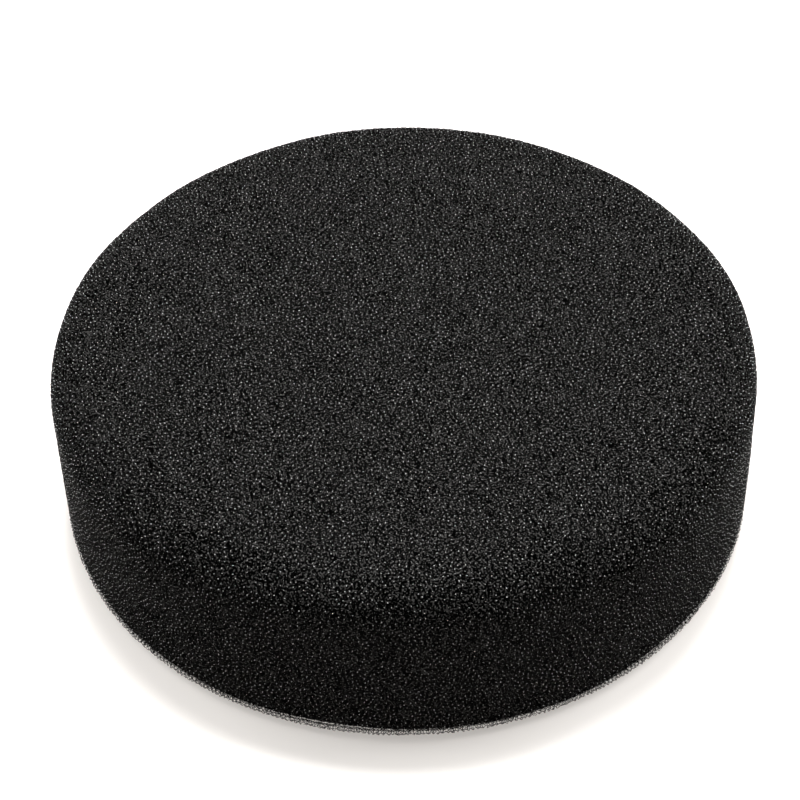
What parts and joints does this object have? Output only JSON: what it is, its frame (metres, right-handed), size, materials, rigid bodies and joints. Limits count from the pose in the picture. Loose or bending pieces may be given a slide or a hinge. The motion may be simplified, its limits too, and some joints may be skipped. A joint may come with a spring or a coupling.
{
  "type": "foam polishing pad",
  "caption": "Round foam polishing pad with a flat working face, rounded edge and a hook-and-loop backing, for a car polishing machine.",
  "frame": {"origin": "centre of the loop face, which is where the pad is pressed onto the machine's backing plate and what it lies on", "axes": "+Z along the pad's axis, from the loop face to the working face; the pad is round, so +X and +Y are free, and +Y points away from the viewer"},
  "size_m": [0.15, 0.15, 0.0425],
  "materials": {
    "foam": "matte",
    "hot_melt": "satin",
    "cloth": "matte",
    "loops": "matte"
  },
  "bodies": {
    "root": {"foam_pad": "foam", "adhesive_film": "hot_melt", "backing_cloth": "cloth", "loop_pile": "loops"}
  },
  "joints": []
}
